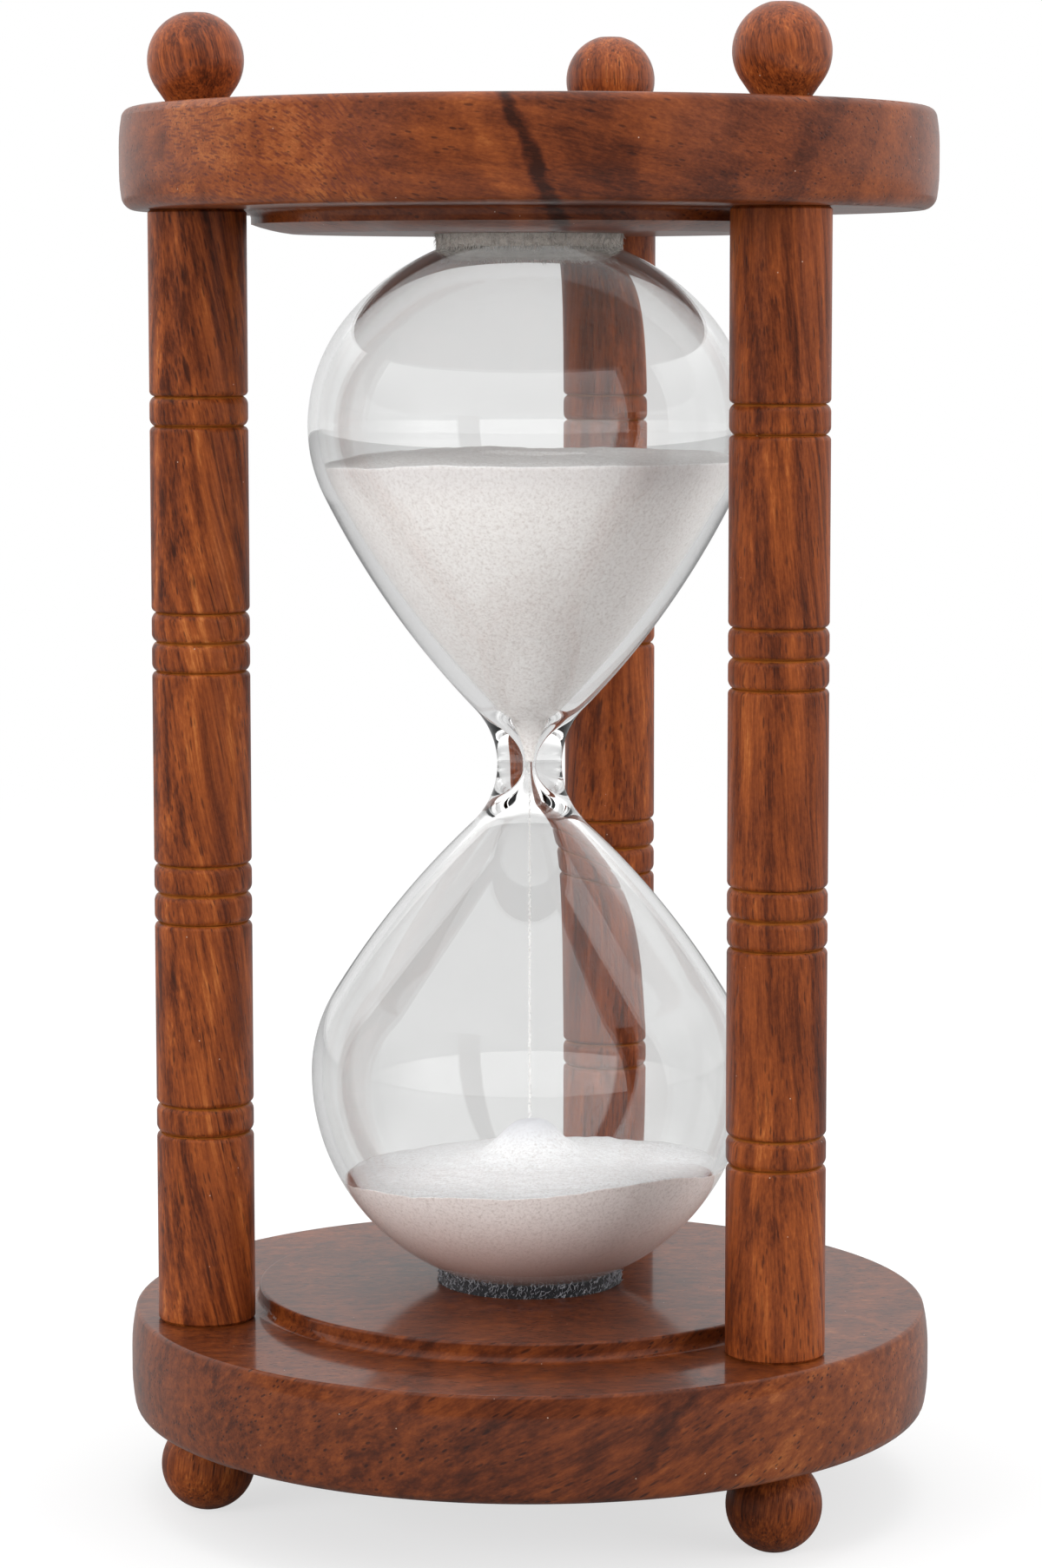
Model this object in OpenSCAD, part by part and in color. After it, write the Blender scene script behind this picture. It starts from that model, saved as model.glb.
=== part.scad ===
// Sand timer: a hand-blown glass with two bulbs, held between two turned wooden discs by three beaded
// pillars, with a ball foot and a ball knob on the line of each pillar. Millimetres, Z up, feet on Z = 0.

/* [Frame] */
// Diameter of the top and the bottom disc
plate_diameter = 100; // [80:1:140]
// Thickness of the top disc at its rim
top_plate_thickness = 12.3; // [8:0.1:20]
// Thickness of the bottom disc at its rim
bottom_plate_thickness = 13; // [8:0.1:20]
// Length of the pillars between the two discs
pillar_length = 135.7; // [110:0.1:180]
// Diameter of the pillars
pillar_diameter = 11.9; // [8:0.1:16]
// Radius of the circle of pillars, as a share of the disc's radius
pillar_ring_share = 0.826; // [0.76:0.001:0.86]
// Turn of the right pillar from straight ahead, in degrees
right_pillar_turn = 45; // [0:1:119]

/* [Discs] */
// Height of the straight middle of the rim of a disc
rim_straight = 3; // [1:0.1:6]
// Round of the crowned edges of the rim, above and below its middle
rim_round = 20; // [12:1:24]
// Corner round on the outer face of the top disc
top_outer_round = 1.3; // [0.3:0.1:3]
// Corner round on the inner face of the top disc
top_inner_round = 1.8; // [0.3:0.1:3]
// Corner round on the outer face of the bottom disc
bottom_outer_round = 1.6; // [0.3:0.1:3]
// Corner round on the inner face of the bottom disc
bottom_inner_round = 0.5; // [0.3:0.1:3]
// Height of the raised boss under the top disc
top_boss_height = 2.8; // [2.3:0.1:6]
// How much lower the top boss is at its edge
top_boss_fall = 1.15; // [0.2:0.05:1.2]
// Width of the falling edge of the top boss
top_boss_slope = 4.8; // [0.2:0.1:10]
// Round of that edge, as a multiple of the round that would run smoothly into the flat face
top_boss_round = 2; // [1:0.1:6]
// Height of the raised boss on the bottom disc
bottom_boss_height = 2.4; // [2:0.1:6]
// How much lower the bottom boss is at its edge
bottom_boss_fall = 0.35; // [0.2:0.05:0.9]
// Width of the falling edge of the bottom boss
bottom_boss_slope = 0.4; // [0.2:0.1:10]
// Round of that edge, as a multiple of the round that would run smoothly into the flat face
bottom_boss_round = 1; // [1:0.1:6]
// Hollow round at the foot of each boss
boss_cove = 1; // [0.5:0.1:1.5]

/* [Pillar beads] */
// Distance from one groove to the next
bead_pitch = 3.6; // [3:0.1:6]
// Depth of the grooves
groove_depth = 0.62; // [0.3:0.02:0.8]
// Round of the edges of each bead, as a multiple of the groove's depth
bead_edge_round = 1.8; // [1:0.1:2]
// Round of the shoulders beside the beads, as a multiple of the groove's depth
shoulder_round = 1.1; // [1:0.1:2]
// Place of the single beads, as a share of the pillar from each end
single_bead_share = 0.182; // [0.1:0.001:0.25]
// Place of the double beads, as a share of the pillar from each end
double_bead_share = 0.387; // [0.3:0.001:0.44]
// How far above the middle of the left pillar its beads are centred
left_bead_shift = 0.6; // [-2:0.1:2]
// How far above the middle of the right pillar its beads are centred
right_bead_shift = 0.1; // [-2:0.1:2]
// How far above the middle of the back pillar its beads are centred
back_bead_shift = -0.1; // [-2:0.1:2]
// Chamfer at the ends of the pillars
pillar_chamfer = 0.35; // [0.1:0.05:1]

/* [Knobs and feet] */
// Diameter of each ball
ball_diameter = 11.6; // [8:0.1:16]
// Height of each ball from the disc to its pole
ball_height = 11; // [8:0.1:16]
// Angle of the taper towards the disc, in degrees
ball_taper = 35; // [20:1:45]
// Diameter of the small flat at the pole
ball_flat_diameter = 3; // [1:0.1:5]

/* [Glass] */
// Greatest diameter of both bulbs
glass_diameter = 54.6; // [40:0.1:64]
// Wall thickness of the bulbs
glass_wall = 1.3; // [0.8:0.1:2.5]
// Diameter of the neck
neck_diameter = 8; // [6:0.1:12]
// Diameter of the bore through the neck
neck_bore = 1; // [0.8:0.1:3]
// Hollow round of the neck outside
neck_round = 10; // [6:0.1:16]
// Round of the bore where it opens into the upper bulb
upper_throat_round = 9; // [4:0.1:12]
// Round of the bore where it opens into the lower bulb
lower_throat_round = 6; // [4:0.1:12]
// Round of the long flanks between neck and belly
flank_round = 106; // [70:1:200]
// Height of the upper belly over the neck, as a share of the bulb
upper_belly_share = 0.636; // [0.55:0.001:0.68]
// Depth of the lower belly under the neck, as a share of the bulb
lower_belly_share = 0.587; // [0.55:0.001:0.68]
// Round of the upper belly towards the neck, as a share of the distance from belly to end
upper_belly_round = 0.8; // [0.6:0.01:0.85]
// Round of the lower belly towards the neck, as a share of the distance from belly to end
lower_belly_round = 0.7; // [0.6:0.01:0.85]
// Gap between the top end of the glass and the top disc
top_glass_gap = 2.3; // [1.5:0.1:4]
// Gap between the bottom end of the glass and the bottom disc
bottom_glass_gap = 1.5; // [1.5:0.1:4]
// Diameter of the small flat where the end of the upper bulb was sealed
seal_diameter = 3; // [1:0.1:6]
// Diameter of the hole that the sand was filled through
fill_hole_diameter = 7.4; // [5:0.1:10]

/* [Sand] */
// Level in the upper bulb, as a share of the bulb's length from the neck
upper_sand_share = 0.59; // [0.1:0.01:0.7]
// Level in the lower bulb, as a share of the bulb's length from its end
lower_sand_share = 0.23; // [0.15:0.01:0.4]
// Slope of the heap and of the dip, in degrees
sand_slope = 32; // [25:1:38]
// Height of the heap under the neck
heap_height = 6.2; // [2:0.1:9]
// Radius of the dip in the upper sand
dip_radius = 7; // [2:0.1:15]
// Tilt of the lower sand, in degrees
sand_tilt = 3; // [0:0.5:6]
// Way that the lower sand falls, as a turn from straight ahead in degrees
sand_tilt_turn = 215; // [0:5:355]
// Diameter of the falling stream
stream_diameter = 0.8; // [0.4:0.1:2]

/* [Felt rings] */
// Outer diameter of the felt rings
felt_diameter = 23.2; // [18:0.1:30]
// Width of the felt from outside to inside
felt_width = 3.4; // [2:0.1:5]
// How far the felt reaches along the glass from its end
felt_reach = 2.5; // [1:0.1:4]

/* [Fits] */
// Diameter of the wooden pins through the discs
pin_diameter = 4.5; // [3:0.1:6]
// Depth of each pin in a pillar, a knob or a foot
pin_grip = 7; // [5:0.1:9]
// Free space at the end of each pin
pin_end_space = 0.5; // [0.2:0.1:1]
// Clearance on the diameter of pins, felt rings and stopper
fit_clearance = 0.1; // [0.05:0.05:0.3]
// Gap between the glass and the sand or felt that lies against it
contact_gap = 0.05; // [0.02:0.01:0.2]
// Space between the foot of a boss and the pillars
boss_to_pillar = 0.3; // [0.2:0.1:2]

/* [Stopper] */
// Diameter of the stopper's flange
flange_diameter = 9.6; // [8:0.1:14]
// Thickness of the stopper's flange
flange_thickness = 1; // [0.5:0.1:1.4]
// Length of the plug above the flange
plug_length = 4; // [3:0.1:6]
// Number of ribs round the plug
plug_ribs = 5; // [2:1:8]
// Depth of the grooves between the ribs
rib_depth = 0.3; // [0.1:0.05:0.8]

/* [Hidden] */
$fn = 96;
wood_colour = [0.42, 0.22, 0.13];
felt_colour = [0.45, 0.46, 0.47];
glass_colour = [0.86, 0.9, 0.9, 0.35];
sand_colour = [0.93, 0.92, 0.9];
stopper_colour = [0.75, 0.74, 0.7];

// How far a cut reaches past the surface that it opens.
cut_over = 1;
// How deep the cone of the heap reaches into the sand under it.
heap_root = 2;
// Turn from one pillar to the next.
pillar_step = 360 / 3;

// Heights, from the feet up.
bottom_plate_z = ball_height;
lower_face_z = bottom_plate_z + bottom_plate_thickness;
upper_face_z = lower_face_z + pillar_length;
top_z = upper_face_z + top_plate_thickness;

// Radii of the frame.
plate_radius = plate_diameter / 2;
pillar_radius = pillar_diameter / 2;
groove_radius = pillar_radius - groove_depth;
pillar_ring = plate_radius * pillar_ring_share;
pocket_radius = (felt_diameter + fit_clearance) / 2;
boss_radius = pillar_ring - pillar_radius - boss_cove - boss_to_pillar;
pin_hole_radius = (pin_diameter + fit_clearance) / 2;

// The glass: each bulb runs from the neck to its end.
bulb_length = (pillar_length - top_glass_gap - bottom_glass_gap) / 2;
glass_radius = glass_diameter / 2;
glass_bottom_z = lower_face_z + bottom_glass_gap;
neck_z = glass_bottom_z + bulb_length;
seal_radius = seal_diameter / 2;
hole_radius = fill_hole_diameter / 2;

// Turns of the three pillars from straight ahead, anticlockwise from above.
right_turn = right_pillar_turn;
back_turn = right_pillar_turn + pillar_step;
left_turn = right_pillar_turn + 2 * pillar_step;

// ---- outlines of turned pieces ----
// An outline is a list of [radius, height, arc]. arc is the radius of the curve from this point to the
// next: positive bulges out, negative is hollow, and 0 is a straight line. Outlines run anticlockwise.
// Its numbers are snapped to a micrometre, so that arcs and lines end on exactly the same points.

function unit(v) = v / norm(v);

function snap(v) = round(v * 1000) / 1000;

function point(p) = [p[0], p[1]];

// The sliver between the chord from a to b and the arc of the given radius on its outer side.
module arc_sliver(a, b, radius) {
    along = unit(b - a);
    out = [along[1], -along[0]];
    half_chord = norm(b - a) / 2;
    to_centre = sqrt(radius * radius - half_chord * half_chord);
    reach = out * (radius - to_centre + cut_over);
    centre = (a + b) / 2 - out * to_centre;
    snapped = [snap(centre[0]), snap(centre[1])];
    intersection() {
        translate(snapped)
            translate(centre - snapped)
                circle(r = radius);
        polygon([a, b, b + reach, a + reach]);
    }
}

module outline(points) {
    snapped = [for (p = points) [snap(p[0]), snap(p[1]), snap(p[2])]];
    last = len(points) - 1;
    difference() {
        union() {
            polygon([for (p = snapped) point(p)]);
            for (i = [0 : last]) {
                next = snapped[i == last ? 0 : i + 1];
                if (snapped[i][2] > 0)
                    arc_sliver(point(snapped[i]), point(next), snapped[i][2]);
            }
        }
        for (i = [0 : last]) {
            next = snapped[i == last ? 0 : i + 1];
            if (snapped[i][2] < 0)
                arc_sliver(point(next), point(snapped[i]), -snapped[i][2]);
        }
    }
}

module turned(points) {
    rotate_extrude()
        outline(points);
}

// A curve run from its end to its start.
function backwards(curve) =
    [for (i = [len(curve) - 1 : -1 : 0]) [curve[i][0], curve[i][1], i > 0 ? curve[i - 1][2] : 0]];

// The radius of an arc that leaves a straight line smoothly and moves aside by `fall` in `run`.
function easing_radius(run, fall) = (run * run + fall * fall) / (2 * fall);

// Moves a piece to the line of the pillar at this turn.
module on_pillar_line(turn, z) {
    rotate([0, 0, turn - 90])
        translate([pillar_ring, 0, z])
            children();
}

// ---- discs ----
// Half of a rim, from the face at height 0 up to the straight middle: the corner's round runs smoothly
// into the crowned edge.
function half_rim(thickness, corner_round) =
    let (
        middle_z = (thickness - rim_straight) / 2,
        crown_centre = [plate_radius - rim_round, middle_z],
        reach = rim_round - corner_round,
        drop = middle_z - corner_round,
        corner_centre = crown_centre + [sqrt(reach * reach - drop * drop), -drop],
        meeting = crown_centre + rim_round * unit(corner_centre - crown_centre)
    )
    [
        [corner_centre[0], 0, corner_round],
        [meeting[0], meeting[1], rim_round],
        [plate_radius, middle_z, 0],
    ];

// A disc with its outer face at height 0 and its boss upwards.
module disc(thickness, outer_round, inner_round, boss_height, boss_fall, boss_slope, boss_round) {
    boss_z = thickness + boss_height;
    boss_arc = boss_round * easing_radius(boss_slope, boss_fall);
    difference() {
        turned(concat(
            [[0, 0, 0]],
            half_rim(thickness, outer_round),
            [for (p = backwards(half_rim(thickness, inner_round))) [p[0], thickness - p[1], p[2]]],
            [
                [boss_radius + boss_cove, thickness, -boss_cove],
                [boss_radius, thickness + boss_cove, 0],
                [boss_radius, boss_z - boss_fall, boss_arc],
                [boss_radius - boss_slope, boss_z, 0],
                [pocket_radius, boss_z, 0],
                [pocket_radius, thickness, 0],
                [0, thickness, 0],
            ]
        ));
        for (turn = [right_turn, back_turn, left_turn])
            on_pillar_line(turn, -cut_over)
                cylinder(r = pin_hole_radius, h = thickness + 2 * cut_over);
    }
}

module bottom_plate() {
    color(wood_colour)
        translate([0, 0, bottom_plate_z])
            disc(bottom_plate_thickness, bottom_outer_round, bottom_inner_round, bottom_boss_height,
                bottom_boss_fall, bottom_boss_slope, bottom_boss_round);
}

// The top disc hangs with its boss downwards.
module top_plate() {
    color(wood_colour)
        translate([0, 0, top_z])
            mirror([0, 0, 1])
                disc(top_plate_thickness, top_outer_round, top_inner_round, top_boss_height,
                    top_boss_fall, top_boss_slope, top_boss_round);
}

// ---- pillars ----
// How far along the pillar a round of this many groove depths runs down to the bottom of a groove.
function groove_run(depths) = groove_depth * sqrt(2 * depths - 1);

// The outline of one bead, from the bottom of the groove below it at height z.
function bead(z) =
    let (
        edge = groove_run(bead_edge_round),
        edge_arc = groove_depth * bead_edge_round
    )
    [
        [groove_radius, z, edge_arc],
        [pillar_radius, z + edge, 0],
        [pillar_radius, z + bead_pitch - edge, edge_arc],
    ];

// The outline of one group of beads, from its lower shoulder to its upper one, round the height z.
function bead_group(z, beads) =
    let (
        first = z - beads * bead_pitch / 2,
        last = z + beads * bead_pitch / 2,
        shoulder = groove_run(shoulder_round),
        shoulder_arc = groove_depth * shoulder_round
    )
    concat(
        [[pillar_radius, first - shoulder, shoulder_arc]],
        [for (i = [0 : beads - 1]) each bead(first + i * bead_pitch)],
        [[groove_radius, last, shoulder_arc], [pillar_radius, last + shoulder, 0]]
    );

module pillar(turn, bead_shift) {
    single = pillar_length * single_bead_share;
    double = pillar_length * double_bead_share;
    color(wood_colour)
        on_pillar_line(turn, lower_face_z)
            difference() {
                turned(concat(
                    [[0, 0, 0], [pillar_radius - pillar_chamfer, 0, 0], [pillar_radius, pillar_chamfer, 0]],
                    bead_group(bead_shift + single, 1),
                    bead_group(bead_shift + double, 2),
                    bead_group(bead_shift + pillar_length - double, 2),
                    bead_group(bead_shift + pillar_length - single, 1),
                    [
                        [pillar_radius, pillar_length - pillar_chamfer, 0],
                        [pillar_radius - pillar_chamfer, pillar_length, 0],
                        [0, pillar_length, 0],
                    ]
                ));
                pin_socket();
                translate([0, 0, pillar_length])
                    mirror([0, 0, 1])
                        pin_socket();
            }
}

// A blind hole for a pin, from height 0 upwards.
module pin_socket() {
    translate([0, 0, -cut_over])
        cylinder(r = pin_hole_radius, h = cut_over + pin_grip + pin_end_space);
}

module pillar_left() {
    pillar(left_turn, left_bead_shift);
}

module pillar_right() {
    pillar(right_turn, right_bead_shift);
}

module pillar_back() {
    pillar(back_turn, back_bead_shift);
}

// ---- knobs and feet ----
// A ball that stands on height 0 and tapers towards it.
module ball() {
    r = ball_diameter / 2;
    flat = ball_flat_diameter / 2;
    centre_z = ball_height - sqrt(r * r - flat * flat);
    taper_r = r * cos(ball_taper);
    taper_z = centre_z - r * sin(ball_taper);
    base_r = taper_r - taper_z * tan(ball_taper);
    difference() {
        turned([
            [0, 0, 0],
            [base_r, 0, 0],
            [taper_r, taper_z, r],
            [r, centre_z, r],
            [flat, ball_height, 0],
            [0, ball_height, 0],
        ]);
        pin_socket();
    }
}

module knob(turn) {
    color(wood_colour)
        on_pillar_line(turn, top_z)
            ball();
}

module foot(turn) {
    color(wood_colour)
        on_pillar_line(turn, bottom_plate_z)
            mirror([0, 0, 1])
                ball();
}

module knob_left() {
    knob(left_turn);
}

module knob_right() {
    knob(right_turn);
}

module knob_back() {
    knob(back_turn);
}

module foot_left() {
    foot(left_turn);
}

module foot_right() {
    foot(right_turn);
}

module foot_back() {
    foot(back_turn);
}

// ---- pins ----
// A pin through the disc from height z up.
module pin(turn, z, thickness) {
    color(wood_colour)
        on_pillar_line(turn, z - pin_grip)
            cylinder(d = pin_diameter, h = thickness + 2 * pin_grip);
}

module pin_top_left() {
    pin(left_turn, upper_face_z, top_plate_thickness);
}

module pin_top_right() {
    pin(right_turn, upper_face_z, top_plate_thickness);
}

module pin_top_back() {
    pin(back_turn, upper_face_z, top_plate_thickness);
}

module pin_bottom_left() {
    pin(left_turn, bottom_plate_z, bottom_plate_thickness);
}

module pin_bottom_right() {
    pin(right_turn, bottom_plate_z, bottom_plate_thickness);
}

module pin_bottom_back() {
    pin(back_turn, bottom_plate_z, bottom_plate_thickness);
}

// ---- glass ----
// One bulb's curve from the neck at height 0 to end_radius from the axis at its end, as five arcs that run
// smoothly into each other: neck, flank, belly, side and end. Side and end come close to an ellipse, so they
// fit a long or a flat dome alike. inset moves the curve in from the outside of the glass.
function bulb_curve(neck_radius, neck_arc, belly_share, round_share, inset, end_radius) =
    let (
        belly_z = bulb_length * belly_share,
        depth = bulb_length - belly_z,
        belly_arc = depth * round_share,
        flank_arc = flank_round - inset,
        neck_centre = [neck_radius + neck_arc, 0],
        belly_centre = [glass_radius - belly_arc, belly_z],
        // The flank's arc touches the neck's from outside and holds the belly's inside it.
        span = norm(belly_centre - neck_centre),
        from_neck = flank_arc + neck_arc,
        from_belly = flank_round - belly_arc,
        along = (span * span + from_neck * from_neck - from_belly * from_belly) / (2 * span),
        aside = sqrt(from_neck * from_neck - along * along),
        ahead = unit(belly_centre - neck_centre),
        flank_centre = neck_centre + ahead * along + [-ahead[1], ahead[0]] * aside,
        neck_end = neck_centre + neck_arc * unit(flank_centre - neck_centre),
        belly_start = belly_centre + (belly_arc - inset) * unit(belly_centre - flank_centre),
        // The end's arc has its centre on the axis.
        side_arc = depth * depth / glass_radius,
        end_arc = glass_radius * (glass_radius + depth) / (2 * depth),
        end_centre = [0, bulb_length - end_arc],
        to_side = unit([1 + depth / glass_radius, 1 + glass_radius / (2 * depth)]),
        side_end = end_centre + (end_arc - inset) * to_side
    )
    [
        [neck_radius, 0, -neck_arc],
        [neck_end[0], neck_end[1], flank_arc],
        [belly_start[0], belly_start[1], belly_arc - inset],
        [glass_radius - inset, belly_z, side_arc - inset],
        [side_end[0], side_end[1], end_arc - inset],
        [end_radius, end_centre[1] + sqrt(pow(end_arc - inset, 2) - end_radius * end_radius), 0],
    ];

// A curve seen from its other side, so what bulged is hollow.
function other_side(curve) = [for (p = curve) [p[0], p[1], -p[2]]];

function above_neck(curve) = [for (p = curve) [p[0], neck_z + p[1], p[2]]];

function below_neck(curve) = [for (p = curve) [p[0], neck_z - p[1], p[2]]];

function but_last(curve) = [for (i = [0 : len(curve) - 2]) curve[i]];

// How far a curve's end is from the neck.
function end_of(curve) = curve[len(curve) - 1][1];

function upper_outside(grown = 0) =
    bulb_curve(neck_diameter / 2 + grown, neck_round - grown, upper_belly_share, upper_belly_round, -grown,
        seal_radius);

function lower_outside(grown = 0) =
    bulb_curve(neck_diameter / 2 + grown, neck_round - grown, lower_belly_share, lower_belly_round, -grown,
        hole_radius);

function upper_inside(shrunk = 0) =
    bulb_curve(neck_bore / 2 - shrunk, upper_throat_round + shrunk, upper_belly_share, upper_belly_round,
        glass_wall + shrunk, seal_radius);

function lower_inside(shrunk = 0) =
    bulb_curve(neck_bore / 2 - shrunk, lower_throat_round + shrunk, lower_belly_share, lower_belly_round,
        glass_wall + shrunk, hole_radius);

// The glass is one blown piece: up its outside from the fill hole, and back down its inside.
module glass_vessel() {
    color(glass_colour)
        turned(concat(
            but_last(backwards(below_neck(lower_outside()))),
            above_neck(upper_outside()),
            [[0, neck_z + end_of(upper_outside()), 0], [0, neck_z + end_of(upper_inside()), 0]],
            but_last(other_side(backwards(above_neck(upper_inside())))),
            other_side(below_neck(lower_inside()))
        ));
}

// A bulb's curve as a filled outline, closed along the axis.
module upper_bulb(curve) {
    outline(concat([[0, neck_z, 0]], above_neck(curve), [[0, neck_z + end_of(curve), 0]]));
}

module lower_bulb(curve) {
    outline(concat([[0, neck_z - end_of(curve), 0]], backwards(below_neck(curve)), [[0, neck_z, 0]]));
}

// ---- stopper ----
// Its flange lies against the edge of the fill hole from outside.
flange_top_z = neck_z - end_of(lower_outside());
plug_radius = hole_radius - fit_clearance / 2;

module fill_stopper() {
    rib_pitch = plug_length / plug_ribs;
    root = plug_radius - rib_depth;
    rib_arc = easing_radius(rib_pitch / 2, rib_depth);
    color(stopper_colour)
        translate([0, 0, flange_top_z])
            turned(concat(
                [
                    [0, -flange_thickness, 0],
                    [flange_diameter / 2, -flange_thickness, 0],
                    [flange_diameter / 2, 0, 0],
                ],
                [for (i = [0 : plug_ribs - 1]) [root, i * rib_pitch, rib_arc]],
                [[root, plug_length, 0], [0, plug_length, 0]]
            ));
}

// ---- sand ----
upper_sand_z = neck_z + bulb_length * upper_sand_share;
lower_sand_z = glass_bottom_z + bulb_length * lower_sand_share;
stream_top_z = neck_z + neck_bore / 2;

module upper_sand() {
    dip_depth = dip_radius * tan(sand_slope);
    color(sand_colour)
        rotate_extrude()
            difference() {
                upper_bulb(upper_inside(contact_gap));
                translate([0, upper_sand_z])
                    square([glass_diameter, bulb_length]);
                translate([0, neck_z - cut_over])
                    square([glass_diameter, cut_over + stream_top_z - neck_z]);
                polygon([
                    [0, upper_sand_z - dip_depth], [dip_radius, upper_sand_z],
                    [dip_radius, upper_sand_z + cut_over], [0, upper_sand_z + cut_over],
                ]);
            }
}

module lower_sand() {
    cone_height = heap_height + heap_root;
    color(sand_colour)
        difference() {
            union() {
                intersection() {
                    rotate_extrude()
                        lower_bulb(lower_inside(contact_gap));
                    translate([0, 0, lower_sand_z])
                        rotate([0, 0, sand_tilt_turn - 90])
                            rotate([0, sand_tilt, 0])
                                translate([0, 0, -bulb_length])
                                    cylinder(d = 2 * glass_diameter, h = bulb_length);
                }
                translate([0, 0, lower_sand_z - heap_root])
                    cylinder(r1 = cone_height / tan(sand_slope), r2 = 0, h = cone_height);
            }
            translate([0, 0, glass_bottom_z])
                cylinder(r = hole_radius, h = flange_top_z + plug_length + contact_gap - glass_bottom_z);
        }
}

module sand_stream() {
    foot_z = lower_sand_z + heap_height + contact_gap;
    color(sand_colour)
        translate([0, 0, foot_z])
            cylinder(d = stream_diameter, h = stream_top_z - foot_z);
}

// ---- felt rings ----
top_felt_height = top_glass_gap + felt_reach;
bottom_felt_height = bottom_glass_gap + felt_reach;

// Each ring lies on the floor of its pocket and is pressed to the shape of the glass.
module felt_ring(lowest_z, height) {
    color(felt_colour)
        rotate_extrude()
            difference() {
                translate([felt_diameter / 2 - felt_width, lowest_z])
                    square([felt_width, height]);
                upper_bulb(upper_outside(contact_gap));
                lower_bulb(lower_outside(contact_gap));
            }
}

module felt_ring_top() {
    felt_ring(upper_face_z - top_felt_height, top_felt_height);
}

module felt_ring_bottom() {
    felt_ring(lower_face_z, bottom_felt_height);
}

top_plate();
bottom_plate();
pillar_left();
pillar_right();
pillar_back();
knob_left();
knob_right();
knob_back();
foot_left();
foot_right();
foot_back();
pin_top_left();
pin_top_right();
pin_top_back();
pin_bottom_left();
pin_bottom_right();
pin_bottom_back();
glass_vessel();
fill_stopper();
upper_sand();
lower_sand();
sand_stream();
felt_ring_top();
felt_ring_bottom();
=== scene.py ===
import math
import random

import bpy
import numpy as np
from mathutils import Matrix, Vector, noise


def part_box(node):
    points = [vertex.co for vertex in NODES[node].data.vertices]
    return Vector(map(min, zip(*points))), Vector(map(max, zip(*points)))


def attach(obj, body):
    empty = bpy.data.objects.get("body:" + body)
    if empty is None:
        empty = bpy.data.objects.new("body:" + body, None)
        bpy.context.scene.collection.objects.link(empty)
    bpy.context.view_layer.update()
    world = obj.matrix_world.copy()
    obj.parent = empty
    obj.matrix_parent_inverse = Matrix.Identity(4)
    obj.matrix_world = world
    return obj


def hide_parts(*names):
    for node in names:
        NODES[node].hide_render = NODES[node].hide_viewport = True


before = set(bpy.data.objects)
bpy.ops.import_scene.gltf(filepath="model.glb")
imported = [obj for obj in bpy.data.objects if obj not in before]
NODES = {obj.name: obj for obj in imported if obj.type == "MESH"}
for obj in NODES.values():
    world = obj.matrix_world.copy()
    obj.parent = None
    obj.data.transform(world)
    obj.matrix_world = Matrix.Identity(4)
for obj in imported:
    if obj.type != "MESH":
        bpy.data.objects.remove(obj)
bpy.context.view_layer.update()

MM = 0.001


# ---- colours and boxes ----
def srgb(red, green, blue):
    """A linear colour from its usual 0 to 255 values."""

    def linear(value):
        value /= 255
        return value / 12.92 if value <= 0.04045 else ((value + 0.055) / 1.055) ** 2.4

    return (linear(red), linear(green), linear(blue), 1.0)


def grey(value):
    """A linear grey, which may be brighter than white for a light."""
    return (value, value, value, 1.0)


def box_mm(node):
    """The lowest and highest corner of a CAD node, in millimetres."""
    low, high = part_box(node)
    return low / MM, high / MM


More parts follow.
